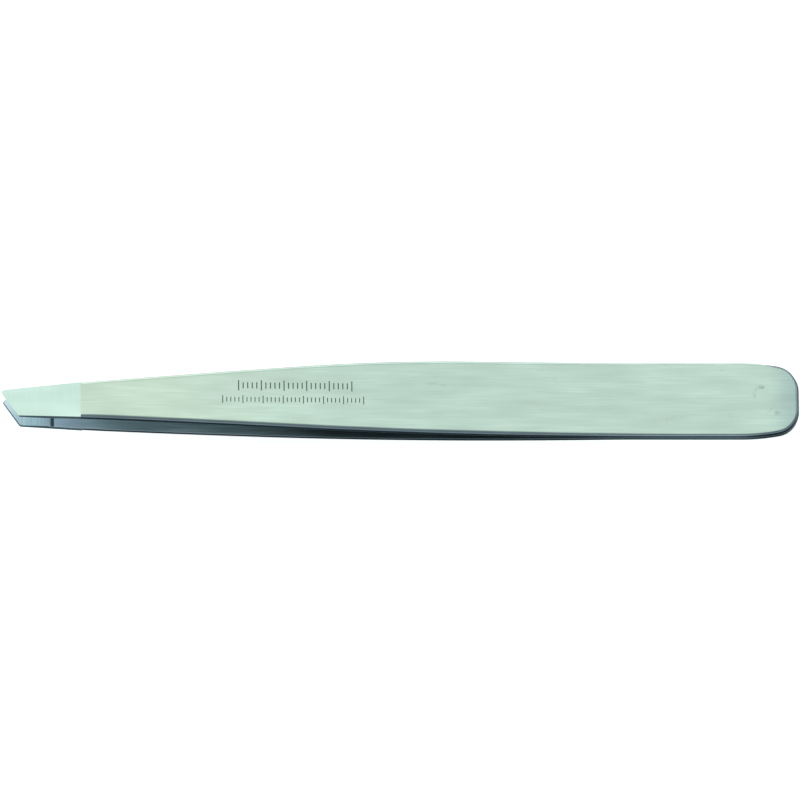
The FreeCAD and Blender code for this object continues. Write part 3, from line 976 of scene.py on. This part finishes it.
    def _dents(self, x: np.ndarray, y: np.ndarray, marks: list[WeldMark]) -> np.ndarray:
        """The shallow rings that the welding electrodes pressed into the outer face."""
        total = np.zeros_like(x)
        for mark in marks:
            off_line = (np.hypot(x - mark.x, y - mark.y) - mark.radius) / self.weld_dent_width
            total += self.weld_dent * np.exp(-off_line**2)
        return total

    def _blank(self, marks: list[WeldMark]) -> bpy.types.Mesh:
        """The flat blank as a closed mesh.

        Args:
            marks: the spot weld marks.

        Returns:
            A mesh in metres: length along the side line, place across, height above it.
        """
        x, y = self._grid()
        inside = self.outline.edge_distance(x, y)
        inner = self._drop(inside, np.full_like(x, self.inner_break))
        outer = self.thickness - self._drop(inside, self._rounding(x))
        outer -= self._dents(x, y, marks)
        rows, columns = x.shape
        number = np.arange(rows * columns).reshape(rows, columns)
        rim = np.concatenate([
            number[0, :-1], number[:-1, -1], number[-1, :0:-1], number[:0:-1, 0],
        ])
        flat_x, flat_y = x.ravel(), y.ravel()
        low, high = inner.ravel(), outer.ravel()
        steps = [k / self.wall_steps for k in range(1, self.wall_steps)]
        walls = [low[rim] + (high[rim] - low[rim]) * share for share in steps]
        places = np.concatenate(
            [np.stack([flat_x, flat_y, low], 1), np.stack([flat_x, flat_y, high], 1)]
            + [np.stack([flat_x[rim], flat_y[rim], wall], 1) for wall in walls]
        )

        a, b = number[:-1, :-1].ravel(), number[:-1, 1:].ravel()
        c, d = number[1:, 1:].ravel(), number[1:, :-1].ravel()
        above = number.size
        faces = [np.stack([d, c, b, a], 1), np.stack([a, b, c, d], 1) + above]
        loops = [rim] + [2 * above + k * len(rim) + np.arange(len(rim)) for k in range(len(walls))]
        loops.append(rim + above)
        for under, over in zip(loops, loops[1:]):
            faces.append(np.stack([under, np.roll(under, -1), np.roll(over, -1), over], 1))
        faces = np.concatenate(faces)

        stations, _, run = self.line.points()
        lengths = np.interp(places[:, 0], stations, run)
        beyond = np.clip((self.allowance_from - places[:, 0]) / self.allowance_run, 0, 1)
        lengths += self.tip_allowance * beyond
        mesh = bpy.data.meshes.new(self.name + "_blank")
        formed = np.stack([lengths, places[:, 1], places[:, 2]], 1) * MM
        mesh.from_pydata(formed.tolist(), [], faces.tolist())
        flat = mesh.attributes.new(FLAT_PLACE, "FLOAT_VECTOR", "POINT")
        flat.data.foreach_set("vector", places.astype(np.float32).ravel())
        self._mark_edges(mesh, inside.ravel(), flat_x, flat_y, len(walls) * len(rim))
        return mesh

    def _mark_edges(
        self, mesh: bpy.types.Mesh, inside: np.ndarray, x: np.ndarray, y: np.ndarray, walls: int
    ) -> None:
        """Marks the cut edges, from the lower part of the rounding down, for their painted shade and own
        roughness, and marks the inner faces.

        Args:
            mesh: the blank.
            inside: how far each face place is inside the outline.
            x: its place along the tool.
            y: its place across it.
            walls: how many places the walls have.
        """
        reach = self.edge_shade_reach.share(x, y)
        soft = self.edge_shade_reach.softness * reach
        outer = np.clip((reach - inside / self._rounding(x)) / soft, 0, 1)
        inner = (inside < self.inner_edge).astype(float)
        edge = np.concatenate([inner, outer, np.ones(walls)])
        # The inner faces get their painted shade and the pad's grinding marks.
        within = np.concatenate([np.ones(len(inner)), np.zeros(len(outer) + walls)])
        for name, values in ((EDGE_SHADE_AND_FINISH, edge), (INNER_SHADE_AND_GRIND, within)):
            finish = mesh.attributes.new(name, "FLOAT", "POINT")
            finish.data.foreach_set("value", values.astype(np.float32))

    def _forming(self) -> Tree:
        """The tree that bends a blank along the side line and grinds its tip."""
        numbers = (
            "Side", "Pad Start", "Pad Height", "Pad Slope", "Groove Start", "Groove Width",
            "Groove Depth", "Ground Line Depth", "Ground Line Seed", "Facet Height",
            "Facet Slope", "Tip",
        )
        tree, want, value = new_tree("form_and_grind_arm", numbers)
        line = tree.add("GeometryNodeObjectInfo", {}, {"Object": want["Side Line"]})
        place = tree.add("GeometryNodeInputPosition").outputs[0]
        x, y, z = bent(tree, place, line.outputs["Geometry"])

        pad = value["Pad Height"] + (value["Pad Start"] - x) * value["Pad Slope"]
        lines = tree.join(x / MM, value["Ground Line Seed"], 0.0)
        scratch = tree.noise(lines, self.ground_line_scale, self.ground_line_detail) - 0.5
        ground_off = (pad - z).at_least(0.0) * (x < value["Pad Start"])
        z = z + ground_off + (ground_off > 0.0) * scratch * value["Ground Line Depth"]
        _, _, above = tree.split(place)
        past = x - value["Groove Start"]
        low = above < self.groove_reach * MM
        in_groove = (past > 0.0) * (past < value["Groove Width"]) * low
        z = z + in_groove * value["Groove Depth"]
        z = z.at_most(value["Facet Height"] + (x - value["Tip"]) * value["Facet Slope"])
        formed = tree.add(
            "GeometryNodeSetPosition", {},
            {"Geometry": want["Geometry"], "Position": tree.join(x, y, z * value["Side"])},
        )
        below = value["Side"] < 0.0
        turned = tree.add(
            "GeometryNodeFlipFaces", {}, {"Mesh": formed.outputs[0], "Selection": below}
        )
        end_tree(tree, turned.outputs[0], want["Material"])
        return tree

    def build(
        self, curve: bpy.types.Object, steel: bpy.types.Material, marks: list[WeldMark], joint: dict
    ) -> bpy.types.Object:
        """Makes the arm and hides the two parts that it stands for.

        Args:
            curve: the side line's curve object.
            steel: the arm's material.
            marks: the spot weld marks.
            joint: the arm's joint in the record.

        Returns:
            The arm's piece.
        """
        start = self.pad_start
        slope = math.tan(math.radians(self.closing_angle))
        pad = float(self.line.height(np.array([start]))[0])
        sizes = {
            "Pad Start": start, "Pad Height": pad, "Groove Start": start - self.groove_lead,
            "Groove Width": self.groove_width, "Groove Depth": self.groove_depth,
            "Ground Line Depth": self.ground_line_depth, "Tip": -self.line.half_length,
            "Facet Height": pad + self.pad_length * slope + self.tip_thickness,
        }
        values = {label: size * MM for label, size in sizes.items()} | {
            "Side Line": curve, "Side": float(self.side.value), "Pad Slope": slope,
            "Ground Line Seed": self.ground_line_seed * self.side.value,
            "Facet Slope": math.tan(math.radians(self.facet_angle)), "Material": steel,
        }
        piece = run_tree(self._blank(marks), self._forming(), values, self.name)
        piece.data.transform(self.layout.matrix @ Matrix.Translation((self.slip * MM, 0, 0)))
        piece.data.shade_smooth()
        piece.data.set_sharp_from_angle(angle=math.radians(self.sharp_angle))
        hinge = Vector(joint["pos_m"])
        reach = self.layout.along * self.flex_reach * MM
        hinge + reach
        hinge - reach
        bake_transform(piece)
        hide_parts(f"{self.name}_heel", f"{self.name}_blade")
        log.info("%s: %d faces", self.name, len(piece.data.polygons))
        return piece


@dataclass(frozen=True)
class TickRow:
    """One row of plain etched ticks."""

    name: str
    first: float
    across: float
    count: int
    pitch: float
    height: float
    width: float


@dataclass
class TickScale:
    """Two rows of plain ticks etched in the upper arm's outer face."""

    layout: Layout
    line: SideLine = field(default_factory=SideLine)
    thickness: float = 1.35
    stand: float = 0.004
    depth: float = 0.02
    long_every: int = 5
    short_share: float = 0.6
    rows: tuple[TickRow, ...] = (
        TickRow("upper_tick_row", -19.4, 1.15, 26, 0.54, 1.25, 0.13),
        TickRow("lower_tick_row", -21.3, -0.55, 36, 0.48, 0.95, 0.11),
    )

    def _ticks(self) -> Tree:
        """The tree that repeats a tick along a row and lays the row on the arm's face."""
        numbers = (
            "First", "Across", "Above", "Count", "Pitch", "Tick Width", "Tick Height",
            "Tick Depth", "Long Every", "Short Share",
        )
        tree, want, value = new_tree("tick_row", numbers)
        line = tree.add("GeometryNodeObjectInfo", {}, {"Object": want["Side Line"]})
        origin = tree.join(value["First"], value["Across"], value["Above"])
        places = tree.add(
            "GeometryNodeMeshLine", {"mode": "OFFSET", "count_mode": "TOTAL"},
            {"Count": want["Count"], "Start Location": origin,
             "Offset": tree.join(value["Pitch"], 0.0, 0.0)},
        )
        size = tree.join(value["Tick Width"], value["Tick Height"], value["Tick Depth"])
        tick = tree.add("GeometryNodeMeshCube", {}, {"Size": size})
        index = Wire(tree, tree.add("GeometryNodeInputIndex").outputs[0])
        is_long = tree.math("MODULO", index, value["Long Every"]) < 0.5
        share = value["Short Share"] + (1 - value["Short Share"]) * is_long
        copies = tree.add(
            "GeometryNodeInstanceOnPoints", {},
            {"Points": places.outputs["Mesh"], "Instance": tick.outputs["Mesh"],
             "Scale": tree.join(1.0, share, 1.0)},
        )
        real = tree.add("GeometryNodeRealizeInstances", {}, {0: copies.outputs[0]})
        place = tree.add("GeometryNodeInputPosition").outputs[0]
        x, y, z = bent(tree, place, line.outputs["Geometry"])
        laid = tree.add(
            "GeometryNodeSetPosition", {},
            {"Geometry": real.outputs[0], "Position": tree.join(x, y, z)},
        )
        end_tree(tree, laid.outputs[0], want["Material"])
        return tree

    def build(self, curve: bpy.types.Object, oxide: bpy.types.Material) -> list[bpy.types.Object]:
        """Makes both rows.

        Args:
            curve: the side line's curve object.
            oxide: the etched ticks' material.

        Returns:
            The rows' pieces.
        """
        tree = self._ticks()
        stations, _, run = self.line.points()
        pieces = []
        for row in self.rows:
            first = float(np.interp(row.first, stations, run))
            sizes = {
                "First": first, "Across": row.across, "Pitch": row.pitch, "Tick Width": row.width,
                "Tick Height": row.height, "Tick Depth": self.depth,
                "Above": self.thickness + self.stand - self.depth / 2,
            }
            values = {label: size * MM for label, size in sizes.items()} | {
                "Side Line": curve, "Count": row.count, "Long Every": float(self.long_every),
                "Short Share": self.short_share, "Material": oxide,
            }
            piece = run_tree(bpy.data.meshes.new(row.name), tree, values, row.name)
            piece.data.transform(self.layout.matrix)
            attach(piece, "upper_arm")
            log.info("%s: %d ticks", row.name, row.count)
            pieces.append(piece)
        return pieces


@dataclass
class Welds:
    """The two spot weld nuggets, sealed between the heel parts."""

    nodes: tuple[str, ...] = ("front_weld_nugget", "rear_weld_nugget")
    ring_radii: tuple[float, ...] = (0.85, 0.55)

    def marks(self, layout: Layout) -> list[WeldMark]:
        """The marks that the nuggets left on the faces over them."""
        back = layout.matrix.inverted()
        middles = [back @ (sum(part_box(node), Vector()) / 2) / MM for node in self.nodes]
        return [WeldMark(at.x, at.y, radius) for at, radius in zip(middles, self.ring_radii)]

    def dress(self, metal: bpy.types.Material) -> None:
        """Gives the nuggets their metal."""
        for name in self.nodes:
            node = frame["nodes"][name]
            node.data.materials.clear()
            node.data.materials.append(metal)
            log.info("%s: dressed", name)


@dataclass(frozen=True)
class SoftLight:
    """A rectangular soft light that faces the tool. Sizes in metres, power in watts."""

    name: str
    place: tuple[float, float, float]
    size: tuple[float, float]
    power: float

    def build(self) -> None:
        """Makes the light."""
        data = bpy.data.lights.new(self.name, "AREA")
        data.shape = "RECTANGLE"
        data.size, data.size_y = self.size
        data.energy = self.power
        light = add_object(self.name, data)
        light.location = self.place
        light.rotation_euler = (-Vector(self.place)).to_track_quat("-Z", "Y").to_euler()


@dataclass
class Studio:
    """A pale floor, soft light and the camera.

    The frame's width and the aim are in mm, and the other lengths in metres.
    """

    layout: Layout
    frame_width: float = 95.45
    camera_distance: float = 1.4
    tilt: float = 12.2
    yaw: float = 2.7
    aim: tuple[float, float] = (0.03, 0.18)
    clip: Span = (0.01, 50.0)
    floor_size: float = 8.0
    floor_finish: PlainFinish = PlainFinish("floor_white", (0.93, 0.93, 0.93), 0.9, glow=0.72)
    reflected_room: Colour = (0.45, 0.50, 0.52)
    seen_room: Colour = (0.90, 0.91, 0.91)
    lights: tuple[SoftLight, ...] = (
        SoftLight("overhead", (0.0, 0.16, 0.75), (0.95, 0.8), 1.5),
        SoftLight("back_panel", (0.0, 1.1, 0.35), (1.6, 0.7), 3.2),
    )

    def build(self) -> None:
        """Makes the floor, the surroundings, the lights and the camera."""
        self._floor()
        self._surroundings()
        for light in self.lights:
            light.build()
        self._camera()

    def _floor(self) -> None:
        """Makes the pale table top that the tool lies on."""
        half = self.floor_size / 2
        corners = [(-half, -half, 0), (half, -half, 0), (half, half, 0), (-half, half, 0)]
        mesh = bpy.data.meshes.new("floor")
        mesh.from_pydata(corners, [], [(0, 1, 2, 3)])
        mesh.materials.append(self.floor_finish.make())
        floor = add_object("floor", mesh)

    def _surroundings(self) -> None:
        """Makes the room: grey in reflections, pale behind the floor."""
        world = bpy.data.worlds.new("room")
        bpy.context.scene.world = world
        world.use_nodes = True
        tree = Tree(world.node_tree)
        seen = Wire(tree, tree.add("ShaderNodeLightPath").outputs["Is Camera Ray"])
        colour = tree.mix(seen, self.reflected_room, self.seen_room)
        world.node_tree.links.new(colour, world.node_tree.nodes["Background"].inputs["Color"])

    def _camera(self) -> None:
        """Makes the camera, level with the tool's long axis and nearly square to its face."""
        tilt, yaw = math.radians(self.tilt), math.radians(self.yaw)
        turn = self.layout.matrix.to_3x3()
        back = turn @ Vector((
            -math.sin(yaw), -math.sin(tilt) * math.cos(yaw), math.cos(tilt) * math.cos(yaw)
        ))
        along = turn @ Vector((1, 0, 0))
        right = (along - along.dot(back) * back).normalized()
        up = back.cross(right)
        target = self.layout.middle + (right * self.aim[0] + up * self.aim[1]) * MM
        data = bpy.data.cameras.new("camera")
        data.lens = data.sensor_width * self.camera_distance / (self.frame_width * MM)
        data.clip_start, data.clip_end = self.clip
        camera = add_object("camera", data)
        basis = Matrix((right, up, back)).transposed().to_4x4()
        camera.matrix_world = Matrix.Translation(target + back * self.camera_distance) @ basis
        bpy.context.scene.camera = camera


def corners(box: tuple[Vector, Vector]) -> list[list[float]]:
    """A box as plain lists of numbers."""
    return [list(corner) for corner in box]


def main() -> None:
    """Builds the tool in the order in which its parts go together."""
    logging.basicConfig(level=logging.INFO, format="%(name)s %(message)s")
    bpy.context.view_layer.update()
    line = SideLine()
    layout = Layout.from_record(frame["record"], line.half_length - line.joined_length / 2)
    welds = Welds()
    marks = welds.marks(layout)
    steel = BrushedSteel().make(marks)
    joints = {joint["child"]: joint for joint in frame["joints"]}
    curve = line.make_curve()
    for side in Side:
        arm = Arm(side, layout, slip=0.0 if side is Side.UPPER else LOWER_ARM_SLIP)
        arm.build(curve, steel, marks, joints[arm.name])
    TickScale(layout).build(curve, ETCHED_OXIDE.make())
    bpy.data.objects.remove(curve)
    welds.dress(WELD_METAL.make())
    Studio(layout).build()
    bpy.context.scene.view_settings.view_transform = "Standard"


if __name__ == "__main__":
    main()
